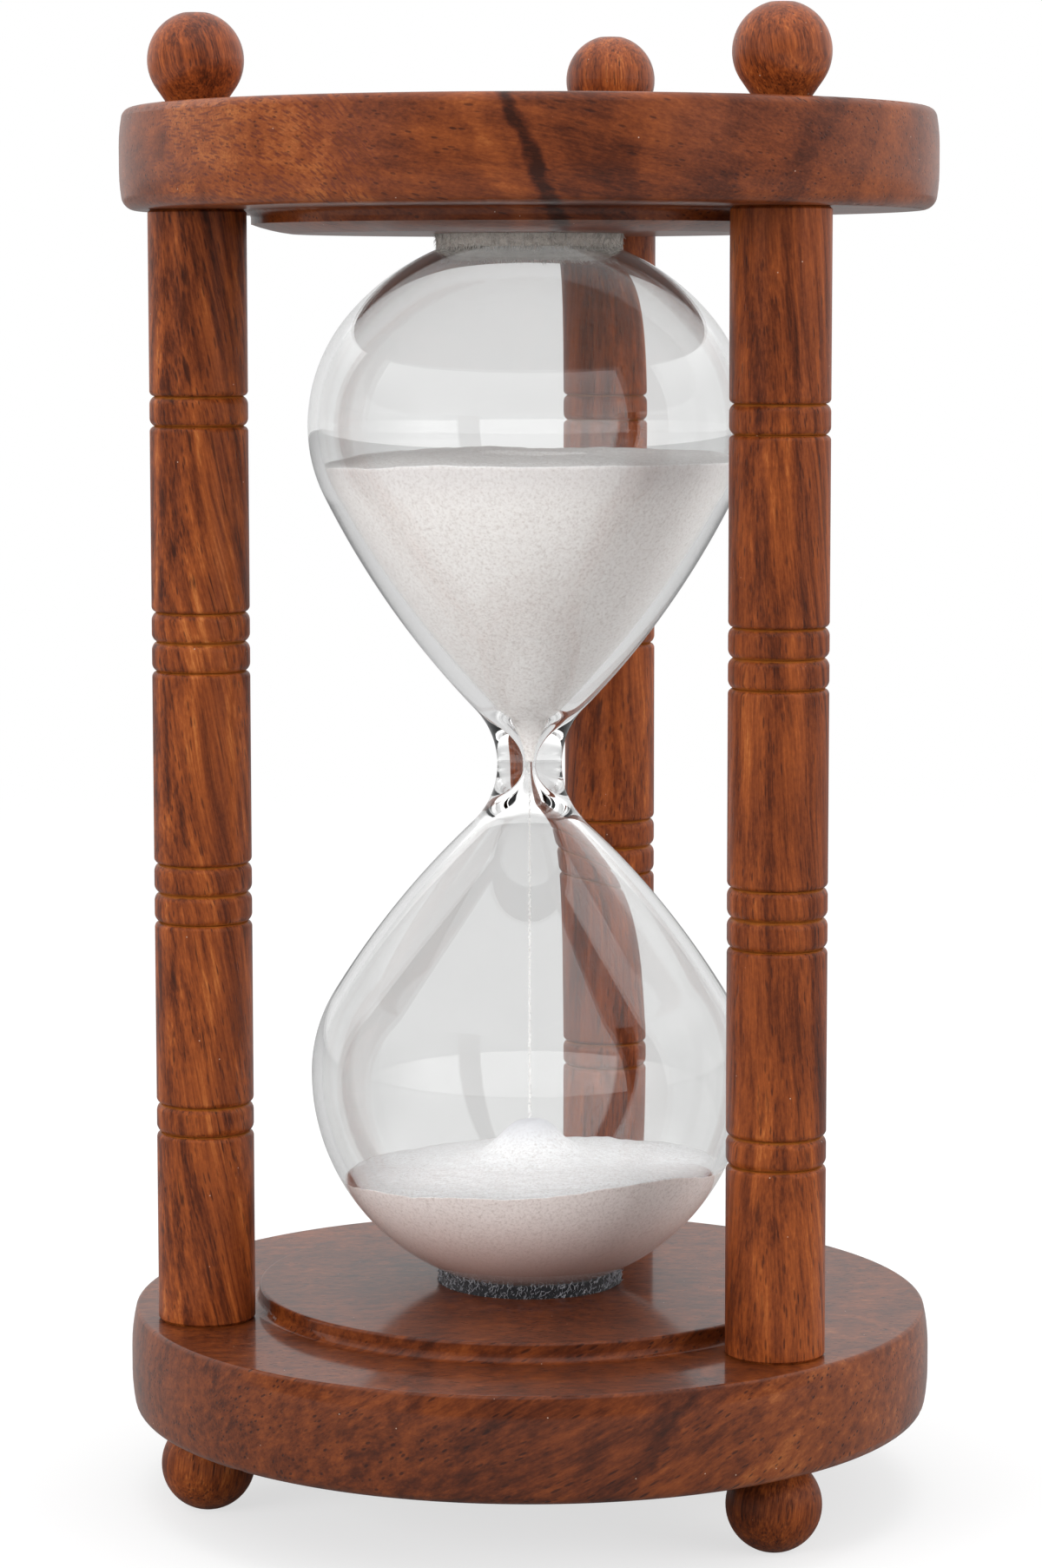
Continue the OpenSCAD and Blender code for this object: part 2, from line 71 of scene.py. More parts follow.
# ---- shader building ----
class Shader:
    """A node tree that is built by calls: every value is a number, a colour or another node's socket."""

    def __init__(self, tree):
        self.tree = tree
        tree.nodes.clear()

    def node(self, kind, inputs=(), **settings):
        made = self.tree.nodes.new("ShaderNode" + kind)
        for name, value in settings.items():
            setattr(made, name, value)
        for name, value in dict(inputs).items():
            self.feed(made.inputs[name], value)
        return made

    def feed(self, socket, value):
        if isinstance(value, bpy.types.NodeSocket):
            self.tree.links.new(value, socket)
        else:
            socket.default_value = value

    def math(self, operation, first, second=0.0):
        return self.node("Math", {0: first, 1: second}, operation=operation).outputs[0]

    def add(self, first, second):
        return self.math("ADD", first, second)

    def minus(self, first, second):
        return self.math("SUBTRACT", first, second)

    def times(self, first, second):
        return self.math("MULTIPLY", first, second)

    def absolute(self, value):
        return self.math("ABSOLUTE", value)

    def rest(self, share):
        """What a share leaves of 1."""
        return self.minus(1.0, share)

    def vector(self, operation, first, second):
        return self.node("VectorMath", {0: first, 1: second}, operation=operation).outputs["Vector"]

    def scaled(self, vector, scale):
        return self.node("VectorMath", {0: vector, "Scale": scale}, operation="SCALE").outputs["Vector"]

    def length(self, vector):
        return self.node("VectorMath", {0: vector}, operation="LENGTH").outputs["Value"]

    def dot(self, first, second):
        return self.node("VectorMath", {0: first, 1: second}, operation="DOT_PRODUCT").outputs["Value"]

    def off_axis(self, vector):
        """How far a point is from the z axis."""
        return self.length(self.vector("MULTIPLY", vector, (1, 1, 0)))

    def ramp(self, value, stops):
        made = self.node("ValToRGB", {"Fac": value})
        elements = made.color_ramp.elements
        while len(elements) < len(stops):
            elements.new(0.5)
        for element, (place, colour) in zip(elements, stops):
            element.position = place
            element.color = colour
        return made.outputs["Color"]

    def step(self, value, low, high):
        """0 at low, 1 at high, smooth between them."""
        made = self.node("MapRange", {"Value": value, "From Min": low, "From Max": high})
        made.interpolation_type = "SMOOTHSTEP"
        return made.outputs["Result"]

    def fall(self, value, low, high):
        """1 at low, 0 at high, smooth between them."""
        return self.rest(self.step(value, low, high))

    def mix(self, factor, first, second, blend="MIX"):
        made = self.node("Mix", {"Factor": factor}, data_type="RGBA", blend_type=blend)
        colours = [socket for socket in made.inputs if socket.type == "RGBA"]
        self.feed(colours[0], first)
        self.feed(colours[1], second)
        return [socket for socket in made.outputs if socket.type == "RGBA"][0]

    def noise(self, vector, scale=1.0, detail=2.0, roughness=0.5, output="Fac"):
        inputs = {"Vector": vector, "Scale": scale, "Detail": detail, "Roughness": roughness}
        return self.node("TexNoise", inputs).outputs[output]

    def noise_along(self, value, detail, roughness):
        """Noise that changes with one number only."""
        inputs = {"W": value, "Scale": 1.0, "Detail": detail, "Roughness": roughness}
        return self.node("TexNoise", inputs, noise_dimensions="1D").outputs["Fac"]

    def cells(self, vector):
        """How far a point is from the middle of its cell: small values are spots."""
        return self.node("TexVoronoi", {"Vector": vector, "Scale": 1.0}).outputs["Distance"]

    def bump(self, height, distance):
        return self.node("Bump", {"Height": height, "Distance": distance, "Strength": 1.0}).outputs["Normal"]

    def place_mm(self):
        """The point on the object, in millimetres."""
        return self.scaled(self.node("TexCoord").outputs["Object"], 1 / MM)


def new_material(name):
    """A material with one Principled surface, its shader and that surface."""
    material = bpy.data.materials.new(name)
    material.use_nodes = True
    s = Shader(material.node_tree)
    surface = s.node("BsdfPrincipled")
    s.feed(s.node("OutputMaterial").inputs["Surface"], surface.outputs["BSDF"])
    return material, s, surface


def set_surface(surface, **values):
    """Constant values of a surface: coat_roughness=0.2 sets its Coat Roughness."""
    for name, value in values.items():
        socket = name.replace("_", " ").title().replace("Ior", "IOR")
        surface.inputs[socket].default_value = value


# ---- wood ----
RED_BROWN = [
    (0.16, srgb(52, 22, 10)),
    (0.34, srgb(84, 37, 16)),
    (0.50, srgb(114, 54, 23)),
    (0.66, srgb(138, 69, 29)),
    (0.84, srgb(168, 96, 46)),
    (1.00, srgb(194, 130, 82)),
]
DARK_STREAK = srgb(50, 22, 12)
PORE = srgb(44, 18, 12)
CURL_DASH = srgb(98, 44, 28)
BARE_WOOD = srgb(146, 86, 32)
DUST = srgb(205, 180, 160)
# Noise that runs with the fibres: its waves per mm across and along them, its detail and its roughness.
LAYERS = {
    "streaks": ((0.85, 0.022), 4, 0.62),
    "hair": ((4.2, 0.09), 3, 0.6),
    "cloud": ((0.12, 0.045), 2, 0.5),
    "mottle": ((3.2, 1.4), 3, 0.65),
    "blots": ((0.95, 0.26), 3, 0.6),
}
RINGS_PER_MM = 0.42
CROSS_WAVES = (0.2, 0.06, 0.05)
STRAY_WAVES = (0.06, 0.02)
FIBRE_WANDER = 5.0
# How strongly each layer shows in plain wood. cross is the ripple over the fibres, and a higher
# pore_fineness gives thinner pores.
PLAIN_FIGURE = {"rings": 0.5, "streaks": 0.8, "hair": 0.45, "cloud": 0.4, "mottle": 0.3, "cross": 0.0,
                "blots": 0.0, "pores": 0.6, "pore_fineness": 1.0}
# A RANGE is where a smooth step or fall starts and where it ends.
DARK_WAVES = (1.25, 0.03)
DARK_RANGE = (0.57, 0.72)
DARK_SHARE = 0.75
PORE_WAVES = (2.1, 0.3)
PORE_RANGE = (0.16, 0.30)
PATCH_WAVES = (0.3, 0.05)
PATCH_RANGE = (0.38, 0.54)
FRAY_PER_MM = 0.3
MARK_RANGE_Y = (-46, 5)
MARK_CORE = 0.2
MARK_FRAY = 2.4
CURL_BENDS_PER_MM = 0.07
CURL_CELLS = (0.75, 0.3, 2.7)
CURL_RANGE = (0.26, 0.46)
CURL_FRAY = 9.0
CURL_FULL = 0.75
CURL_GONE = 1.1
CURL_SHARE = 0.72
RIM_SKIN = 48.5
GROOVE_BAND = 0.34
GROOVE_FADE = (-0.1, 0.12)
GROOVE_CHIPS = 0.55
GROOVE_SHARE = 0.7
SPECKS_PER_MM = 0.36
SPECK_RANGE = (0.022, 0.034)
SPECK_SHARE = 0.7
HAIR_RELIEF = 0.3
PORE_DEPTH = 0.03


def stretched(s, fibres, waves):
    """The fibres' space in waves: so many per mm across the fibres and so many along them."""
    across, along = waves
    return s.vector("MULTIPLY", fibres, (across, across, along))


def fibre_space(s, place, grain, heart):
    """The point with its z along the fibres, which stray a little. grain is the way they run, and heart
    moves the middle of the tree, in millimetres."""
    turn = Vector(grain).to_track_quat("Z", "Y").inverted().to_euler()
    fibres = s.node("Mapping", {"Vector": place, "Rotation": turn, "Location": heart}).outputs["Vector"]
    astray = s.noise(stretched(s, fibres, STRAY_WAVES), detail=2, output="Color")
    astray = s.vector("SUBTRACT", astray, (0.5, 0.5, 0.5))
    return s.vector("ADD", fibres, s.scaled(astray, FIBRE_WANDER))


def wood_layers(s, place, fibres):
    """The noise of each layer of the figure."""
    layers = {}
    for name, (waves, detail, roughness) in LAYERS.items():
        layers[name] = s.noise(stretched(s, fibres, waves), detail=detail, roughness=roughness)
    layers["rings"] = s.noise_along(s.times(s.off_axis(fibres), RINGS_PER_MM), 3.0, 0.6)
    layers["cross"] = s.noise(s.vector("MULTIPLY", place, CROSS_WAVES), detail=3)
    return layers


def mark_shift(s, place, fray, marks, z):
    """How much lighter the marks make the wood. Each mark is a slanted band: x where it crosses the height
    z of the rim, lean, half width and how much lighter it is. The marks fade from the front inwards."""
    front = s.fall(s.dot(place, (0, 1, 0)), *MARK_RANGE_Y)
    total = 0.0
    for x, lean, half_width, lighter in marks:
        off = s.minus(s.dot(place, (1, 0, lean)), x + lean * z)
        off = s.absolute(s.add(off, s.times(fray, MARK_FRAY * half_width)))
        band = s.times(s.fall(off, MARK_CORE * half_width, half_width), front)
        total = s.add(total, s.times(band, lighter))
    return total


def pore_dashes(s, fibres, fineness):
    """The pores: short dashes along the fibres, in patches."""
    across, along = PORE_WAVES
    dashes = s.fall(s.cells(stretched(s, fibres, (across * fineness, along))), *PORE_RANGE)
    patches = s.step(s.noise(stretched(s, fibres, PATCH_WAVES)), *PATCH_RANGE)
    return s.times(dashes, patches)


def curl_dashes(s, place, fray, x, z, half_width, turn):
    """Short dashes that swirl on a rim beside a knot: level at the far end, falling towards the middle.
    x and z are the middle of their field, and turn is how far they turn across it."""
    east = s.dot(place, (1, 0, 0))
    angle = s.times(s.step(east, x - half_width, x + half_width), -turn)
    angle = s.add(angle, s.minus(s.noise(s.scaled(place, CURL_BENDS_PER_MM), detail=1), 0.5))
    swirl = s.node("VectorRotate", {"Vector": place, "Center": (x, 0, z), "Angle": angle},
                   rotation_type="Y_AXIS").outputs[0]
    dashes = s.fall(s.cells(s.vector("MULTIPLY", swirl, CURL_CELLS)), *CURL_RANGE)
    near = s.absolute(s.add(s.minus(east, x), s.times(fray, CURL_FRAY)))
    near = s.fall(near, CURL_FULL * half_width, CURL_GONE * half_width)
    near = s.times(near, s.step(s.off_axis(place), RIM_SKIN - 1, RIM_SKIN))
    return s.times(dashes, near)


def bare_grooves(s, place, x, y, radius):
    """1 in the grooves of a turned piece, 0 on its surface. x and y are its axis, radius is its widest."""
    chips = s.times(s.minus(s.noise(place, 0.9, 4, 0.65), 0.5), GROOVE_CHIPS)
    depth = s.add(s.off_axis(s.vector("SUBTRACT", place, (x, y, 0))), chips)
    edge = radius - GROOVE_BAND
    return s.fall(depth, edge + GROOVE_FADE[0], edge + GROOVE_FADE[1])


def wood(name, grain, heart=(30, 20, 0), tone=1.0, figure=None, turned=None, marks=(), mark_z=0.0,
         curl=None, roughness=0.42, coat=0.3, coat_roughness=0.24):
    """Lacquered rosewood. figure holds what differs from PLAIN_FIGURE, turned is the axis and radius of a
    turned piece, whose grooves show bare wood, and curl is the field of curl_dashes."""
    strengths = {**PLAIN_FIGURE, **(figure or {})}
    material, s, surface = new_material(name)
    place = s.place_mm()
    fibres = fibre_space(s, place, grain, heart)
    layers = wood_layers(s, place, fibres)
    fray = s.minus(s.noise(s.scaled(place, FRAY_PER_MM), detail=4), 0.5)
    value = 0.5
    for layer, figure_noise in layers.items():
        value = s.add(value, s.times(s.minus(figure_noise, 0.5), strengths[layer]))
    if marks:
        value = s.add(value, mark_shift(s, place, fray, marks, mark_z))
    colour = s.ramp(value, RED_BROWN)
    dark = s.step(s.noise(stretched(s, fibres, DARK_WAVES), detail=3, roughness=0.6), *DARK_RANGE)
    colour = s.mix(s.times(dark, DARK_SHARE * strengths["streaks"]), colour, DARK_STREAK)
    dashes = pore_dashes(s, fibres, strengths["pore_fineness"])
    colour = s.mix(s.times(dashes, strengths["pores"]), colour, PORE)
    if curl:
        colour = s.mix(s.times(curl_dashes(s, place, fray, **curl), CURL_SHARE), colour, CURL_DASH)
    colour = s.node("HueSaturation", {"Color": colour, "Value": tone}).outputs["Color"]
    if turned:
        colour = s.mix(s.times(bare_grooves(s, place, *turned), GROOVE_SHARE), colour, BARE_WOOD)
    specks = s.fall(s.cells(s.scaled(place, SPECKS_PER_MM)), *SPECK_RANGE)
    colour = s.mix(s.times(specks, SPECK_SHARE), colour, DUST)
    s.feed(surface.inputs["Base Color"], colour)
    relief = s.minus(s.times(layers["hair"], HAIR_RELIEF), dashes)
    s.feed(surface.inputs["Normal"], s.bump(relief, PORE_DEPTH * MM))
    set_surface(surface, roughness=roughness, ior=1.45, specular_ior_level=0.2, coat_weight=coat,
                coat_roughness=coat_roughness)
    return material


def dress(node, material):
    """Gives a CAD node its material."""
    slots = NODES[node].data.materials
    slots.clear()
    slots.append(material)


# ---- the wooden pieces ----
PILLARS = {
    "pillar_left": dict(grain=(0.2, 0.1, -1), heart=(34, 22, 0), tone=1.14, coat=0.14,
                        figure={"streaks": 1.1}),
    "pillar_right": dict(grain=(0.05, 0.1, -1), heart=(-60, 31, 40), tone=1.16, coat=0.14,
                         figure={"rings": 0.4}),
    "pillar_back": dict(grain=(-0.04, 0.1, -1), heart=(28, -41, 90), tone=1.18, coat=0.12,
                        figure={"streaks": 0.9}),
}
# The knobs are lacquered and the feet dull. The knobs' higher tones are painted light from above, and the
# feet's lower tones are painted shade below.
BALLS = {
    "knob_left": (1.32, 0.5),
    "knob_right": (1.25, 0.5),
    "knob_back": (1.15, 0.5),
    "foot_left": (1.0, 0.08),
    "foot_right": (0.95, 0.08),
    "foot_back": (0.95, 0.08),
}
BALL_FIGURE = {"rings": 0.3, "streaks": 0.75, "hair": 0.8}
TOP_FIGURE = {"rings": 0.2, "streaks": 0.3, "hair": 0.2, "mottle": 0.4, "cross": 0.25, "blots": 0.2,
              "pore_fineness": 0.8}
TOP_RIM_Z = sum(corner.z for corner in box_mm("top_plate")) / 2
# The marks on the rims: x, lean, half width and how much lighter.
TOP_MARKS = [
    (-32, 0.5, 15, 0.20),
    (-12, 0.3, 8, -0.04),
    (-3.8, 0.45, 1.9, 0.12),
    (0.4, 0.45, 1.6, -0.34),
    (7, 0.45, 6.5, -0.14),
    (22, -0.2, 3.5, -0.10),
    (31, -0.5, 2.8, -0.16),
    (41, -0.3, 2.4, 0.14),
]
TOP_CURL = {"x": -31, "z": TOP_RIM_Z, "half_width": 14.5, "turn": 0.75}
BOTTOM_FIGURE = {"rings": 0.2, "streaks": 0.4, "hair": 0.15, "cross": 0.3, "blots": 0.6, "pores": 0.7,
                 "pore_fineness": 0.75}
BOTTOM_RIM_Z = 17.5
BOTTOM_MARKS = [
    (3, -0.6, 16, -0.08),
    (-18, -0.8, 3, -0.12),
    (14, -0.8, 2.5, -0.14),
    (38, -0.5, 15, 0.15),
]


def axis_of(node):
    """The x and y of a turned piece's axis and its greatest radius."""
    low, high = box_mm(node)
    return ((low.x + high.x) / 2, (low.y + high.y) / 2, (high.x - low.x) / 2)


def dress_wood():
    for node, look in PILLARS.items():
        dress(node, wood(node.replace("pillar", "wood"), turned=axis_of(node), **look))
    for index, (node, (tone, coat)) in enumerate(BALLS.items()):
        grain = (0.1 * index - 0.25, 0.1, 1)
        heart = (18 + 7 * index, 25, 11 * index)
        dress(node, wood("wood_" + node, grain, heart, tone, BALL_FIGURE, coat=coat, coat_roughness=0.3))
    dress("top_plate", wood("wood_top_plate", (1, 0.05, -0.18), (50, -40, 20), 0.95, TOP_FIGURE,
                            marks=TOP_MARKS, mark_z=TOP_RIM_Z, curl=TOP_CURL, roughness=0.5, coat=0.45,
                            coat_roughness=0.2))
    dress("bottom_plate", wood("wood_bottom_plate", (0.87, 0.1, 0.45), (30, -38, 60), 0.8, BOTTOM_FIGURE,
                               marks=BOTTOM_MARKS, mark_z=BOTTOM_RIM_Z, roughness=0.5, coat=0.5,
                               coat_roughness=0.1))
    pin_wood = wood("wood_pins", (0, 0, 1), tone=1.3)
    for node in NODES:
        if node.startswith("pin_"):
            dress(node, pin_wood)


# ---- camera and room ----
CAMERA_PLACE = (0, -531.1, 149.75)
CAMERA_LENS = 98.7
CAMERA_DROP = math.radians(6.52)
CAMERA_LEAN = 0.0009
CAMERA_TURN = 0.0019
AIM = (0, 0, 0.09)
# How bright the room is behind, in front and above for each kind of ray, and where it changes.
MIRRORED = {"back": 0.8, "front": 0.05, "top": 0.9, "forward": (-0.25, 0.35), "upward": (0.15, 0.75)}
LIGHT = {"back": 0.92, "front": 0.78, "top": 1.0, "forward": (-0.25, 0.35), "upward": (0.0, 0.9)}
THROUGH = {"back": 0.84, "front": 2.5, "top": 2.0, "forward": (-0.2, 0.6), "upward": (0.2, 0.5)}
WINDOW_LIGHT = 0.7
WINDOW_SHARE = 0.5
WINDOW_INNER = (0.45, 0.6)
WINDOW_OUTER = (0.78, 0.9)
WINDOW_LEVEL = 0.1
WINDOW_EDGE = (0.25, 0.5)
FLOOR_HALF = 3.0
FLOOR_GREY = 0.3
FLOOR_FADE = (0.25, 0.8)
# The floor's own light, by the ray that meets it.
FLOOR_GLOW = {"Is Camera Ray": 0.66, "Is Transmission Ray": 0.24, "Is Glossy Ray": 0.05}


def link(thing):
    bpy.context.scene.collection.objects.link(thing)
    return thing


def make_camera():
    data = bpy.data.cameras.new("camera")
    data.lens = CAMERA_LENS
    camera = link(bpy.data.objects.new("camera", data))
    camera.location = Vector(CAMERA_PLACE) * MM
    camera.rotation_euler = (math.pi / 2 - CAMERA_DROP, CAMERA_LEAN, CAMERA_TURN)
    bpy.context.scene.camera = camera


def room_light(s, room, forward, upward):
    colour = s.mix(s.step(forward, *room["forward"]), grey(room["back"]), grey(room["front"]))
    return s.mix(s.step(upward, *room["upward"]), colour, grey(room["top"]))


def windows(s, direction, forward, upward):
    """Where reflections see the two windows beside the photographer."""
    sideways = s.absolute(s.dot(direction, (1, 0, 0)))
    across = s.times(s.step(sideways, *WINDOW_INNER), s.fall(sideways, *WINDOW_OUTER))
    level = s.fall(s.absolute(s.minus(upward, WINDOW_LEVEL)), *WINDOW_EDGE)
    return s.times(across, s.times(s.step(forward, *MIRRORED["forward"]), level))


def make_world():
    """A white room. Plain light is even, reflections see a dark front with two windows, and what is seen
    or lit through the glass finds a bright front. The camera itself sees white."""
    world = bpy.data.worlds.new("studio")
    bpy.context.scene.world = world
    world.use_nodes = True
    s = Shader(world.node_tree)
    path = s.node("LightPath").outputs
    direction = s.node("TexCoord").outputs["Generated"]
    forward = s.dot(direction, (0, -1, 0))
    upward = s.dot(direction, (0, 0, 1))
    window = s.times(windows(s, direction, forward, upward), WINDOW_SHARE)
    mirrored = s.mix(window, room_light(s, MIRRORED, forward, upward), grey(WINDOW_LIGHT))
    colour = s.mix(path["Is Glossy Ray"], room_light(s, LIGHT, forward, upward), mirrored)
    colour = s.mix(path["Is Transmission Ray"], colour, room_light(s, THROUGH, forward, upward))
    colour = s.mix(path["Is Camera Ray"], colour, grey(1.0))
    background = s.node("Background", {"Color": colour, "Strength": 1.0})
    s.feed(s.node("OutputWorld").inputs["Surface"], background.outputs[0])


def floor_material():
    """White paper that keeps the object's shadow and turns plain white away from it."""
    material = bpy.data.materials.new("floor_white")
    material.use_nodes = True
    s = Shader(material.node_tree)
    path = s.node("LightPath").outputs
    glow = 0.0
    for ray, strength in FLOOR_GLOW.items():
        glow = s.add(glow, s.times(path[ray], strength))
    paper = s.node("BsdfDiffuse", {"Color": grey(FLOOR_GREY)}).outputs[0]
    glow = s.node("Emission", {"Color": grey(1.0), "Strength": glow}).outputs[0]
    near = s.node("AddShader", {0: paper, 1: glow}).outputs[0]
    white = s.node("Emission", {"Color": grey(1.0), "Strength": 1.0}).outputs[0]
    away = s.step(s.length(s.node("TexCoord").outputs["Object"]), *FLOOR_FADE)
    away = s.times(away, path["Is Camera Ray"])
    both = s.node("MixShader", {0: away, 1: near, 2: white}).outputs[0]
    s.feed(s.node("OutputMaterial").inputs["Surface"], both)
    return material


def make_floor():
    mesh = bpy.data.meshes.new("floor")
    corners = ((-1, -1), (1, -1), (1, 1), (-1, 1))
    mesh.from_pydata([(FLOOR_HALF * x, FLOOR_HALF * y, 0) for x, y in corners], [], [(0, 1, 2, 3)])
    mesh.materials.append(floor_material())
    link(bpy.data.objects.new("floor", mesh))


def softbox(name, place, width, height, power):
    """A lamp that lights the object and isn't seen in it. Metres and watts."""
    data = bpy.data.lights.new(name, "AREA")
    data.shape = "RECTANGLE"
    data.size = width
    data.size_y = height
    data.energy = power
    lamp = link(bpy.data.objects.new(name, data))
    lamp.location = place
    lamp.rotation_euler = (Vector(AIM) - Vector(place)).to_track_quat("-Z", "Y").to_euler()
    lamp.visible_glossy = False
    lamp.visible_transmission = False


# ---- meshes ----
def add_piece(name, points, faces, material, slot, replaces=()):
    """A new smooth piece on the part's one body. Points are in millimetres."""
    mesh = bpy.data.meshes.new(name)
    mesh.from_pydata((np.asarray(points, float) * MM).tolist(), [], faces)
    mesh.update()
    mesh.polygons.foreach_set("use_smooth", [True] * len(mesh.polygons))
    mesh.materials.append(material)
    piece = link(bpy.data.objects.new(name, mesh))
    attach(piece, "root")
    if replaces:
        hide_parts(*replaces)


def ring_of(radius, z, turns):
    """A ring of points round the z axis, or its one point on the axis."""
    if radius < 1e-6:
        return [(0.0, 0.0, z)]
    angles = [2 * math.pi * i / turns for i in range(turns)]
    return [(radius * math.cos(angle), radius * math.sin(angle), z) for angle in angles]


def skin(rows, closed=False):
    """Points and faces of a surface over rows of points. A row is a ring or a single point on the axis."""
    points, rings, faces = [], [], []
    for row in rows:
        rings.append(range(len(points), len(points) + len(row)))
        points += row
    pairs = list(zip(rings, rings[1:]))
    if closed:
        pairs.append((rings[-1], rings[0]))
    for low, high in pairs:
        turns = max(len(low), len(high))
        for i in range(turns if turns > 1 else 0):
            following = (i + 1) % turns
            if len(low) == 1:
                faces.append((low[0], high[following], high[i]))
            elif len(high) == 1:
                faces.append((low[i], low[following], high[0]))
            else:
                faces.append((low[i], low[following], high[following], high[i]))
    return points, faces


def lathe(outline, turns):
    """Points and faces of a closed outline of (radius, z) turned round the z axis."""
    return skin([ring_of(radius, z, turns) for radius, z in outline], closed=True)


# ---- the glass ----
BULB_WALL = 1.3
NECK_RADIUS = 4.0
NECK_ARC = 10.0
BORE_RADIUS = 0.5
FLANK_ARC = 106.0
# A bulb: how far along it is widest and how round there, both as shares, and in millimetres the arc
# inside its throat and the radius at which its outline ends.
UPPER = {"belly": 0.636, "round": 0.8, "throat": 9.0, "end": 1.5}
LOWER = {"belly": 0.587, "round": 0.7, "throat": 6.0, "end": 3.7}
GLASS_TURNS = 160
GLASS_STEP = 0.6
glass_low, glass_high = box_mm("glass_vessel")
BULB_RADIUS = (glass_high.x - glass_low.x) / 2
BULB_LENGTH = (glass_high.z - glass_low.z) / 2
NECK_Z = (glass_high.z + glass_low.z) / 2


def arc(centre, start, end):
    """Points round centre from start to end, the shorter way, without end itself."""
    first = math.atan2(start[1] - centre[1], start[0] - centre[0])
    last = math.atan2(end[1] - centre[1], end[0] - centre[0])
    sweep = (last - first + math.pi) % (2 * math.pi) - math.pi
    radius = math.dist(centre, start)
    count = max(3, math.ceil(abs(sweep) * radius / GLASS_STEP))
    return [(centre[0] + radius * math.cos(first + sweep * i / count),
             centre[1] + radius * math.sin(first + sweep * i / count)) for i in range(count)]


def bulb_curve(bulb, inside, gap=0.0):
    """One bulb's outline from the neck at height 0 to its end, the same five arcs as the CAD glass. gap
    keeps it off the glass."""
    inset = BULB_WALL + gap if inside else -gap
    neck_radius = BORE_RADIUS - gap if inside else NECK_RADIUS + gap
    neck_arc = bulb["throat"] + gap if inside else NECK_ARC - gap
    belly_z = BULB_LENGTH * bulb["belly"]
    depth = BULB_LENGTH - belly_z
    belly_arc = depth * bulb["round"]
    neck_centre = Vector((neck_radius + neck_arc, 0))
    belly_centre = Vector((BULB_RADIUS - belly_arc, belly_z))
    # The flank touches the arcs of the neck and the belly.
    between = belly_centre - neck_centre
    span = between.length
    from_neck = FLANK_ARC - inset + neck_arc
    from_belly = FLANK_ARC - belly_arc
    along = (span ** 2 + from_neck ** 2 - from_belly ** 2) / (2 * span)
    aside = math.sqrt(from_neck ** 2 - along ** 2)
    ahead = between.normalized()
    flank_centre = neck_centre + ahead * along + Vector((-ahead.y, ahead.x)) * aside
    neck_end = neck_centre + neck_arc * (flank_centre - neck_centre).normalized()
    belly_start = belly_centre + (belly_arc - inset) * (belly_centre - flank_centre).normalized()
    belly_end = Vector((BULB_RADIUS - inset, belly_z))
    # The dome: a side arc and an end arc as in an oval.
    side_arc = depth ** 2 / BULB_RADIUS
    end_arc = BULB_RADIUS * (BULB_RADIUS + depth) / (2 * depth)
    end_centre = Vector((0, BULB_LENGTH - end_arc))
    to_side = Vector((1 + depth / BULB_RADIUS, 1 + BULB_RADIUS / (2 * depth))).normalized()
    side_end = end_centre + (end_arc - inset) * to_side
    end = Vector((bulb["end"], end_centre.y + math.sqrt((end_arc - inset) ** 2 - bulb["end"] ** 2)))
    points = arc(neck_centre, (neck_radius, 0), neck_end)
    points += arc(flank_centre, neck_end, belly_start)
    points += arc(belly_centre, belly_start, belly_end)
    points += arc((BULB_RADIUS - side_arc, belly_z), belly_end, side_end)
    points += arc(end_centre, side_end, end)
    return points + [tuple(end)]


def above(curve):
    return [(radius, NECK_Z + z) for radius, z in curve]


def below(curve):
    return [(radius, NECK_Z - z) for radius, z in curve]


def glass_material():
    """Clear glass that throws hardly any shadow."""
    material = bpy.data.materials.new("glass")
    material.use_nodes = True
    s = Shader(material.node_tree)
    clear = s.node("BsdfPrincipled")
    set_surface(clear, base_color=(0.955, 0.957, 0.955, 1), transmission_weight=1.0, roughness=0.0, ior=1.5)
    shadow = s.node("BsdfTransparent", {"Color": grey(0.99)})
    path = s.node("LightPath").outputs["Is Shadow Ray"]
    both = s.node("MixShader", {0: path, 1: clear.outputs[0], 2: shadow.outputs[0]})
    s.feed(s.node("OutputMaterial").inputs["Surface"], both.outputs[0])
    return material


def make_glass():
    """The outside from the fill hole up to the sealed top, and the inside back down."""
    outside = below(bulb_curve(LOWER, False))[:0:-1] + above(bulb_curve(UPPER, False))
    inside = above(bulb_curve(UPPER, True))[:0:-1] + below(bulb_curve(LOWER, True))
    seal = [(0.0, outside[-1][1]), (0.0, inside[0][1])]
    points, faces = lathe(outside + seal + inside, GLASS_TURNS)
    add_piece("blown_glass", points, faces, glass_material(), "clear_glass", ["glass_vessel"])


# ---- the sand ----
SAND_GAP = 0.05
SAND_TOUCH = -0.02
SAND_TURNS = 240
SAND_RINGS = 90
LOWER_TILT = math.tan(math.radians(3))
LOWER_FALL = math.radians(125)
HEAP_HEIGHT = 6.2
HEAP_RADIUS = 4.4
HEAP_POWER = 3.2
HEAP_SMOOTH = 3
BROAD_RISE = 1.6
BROAD_RADIUS = 24
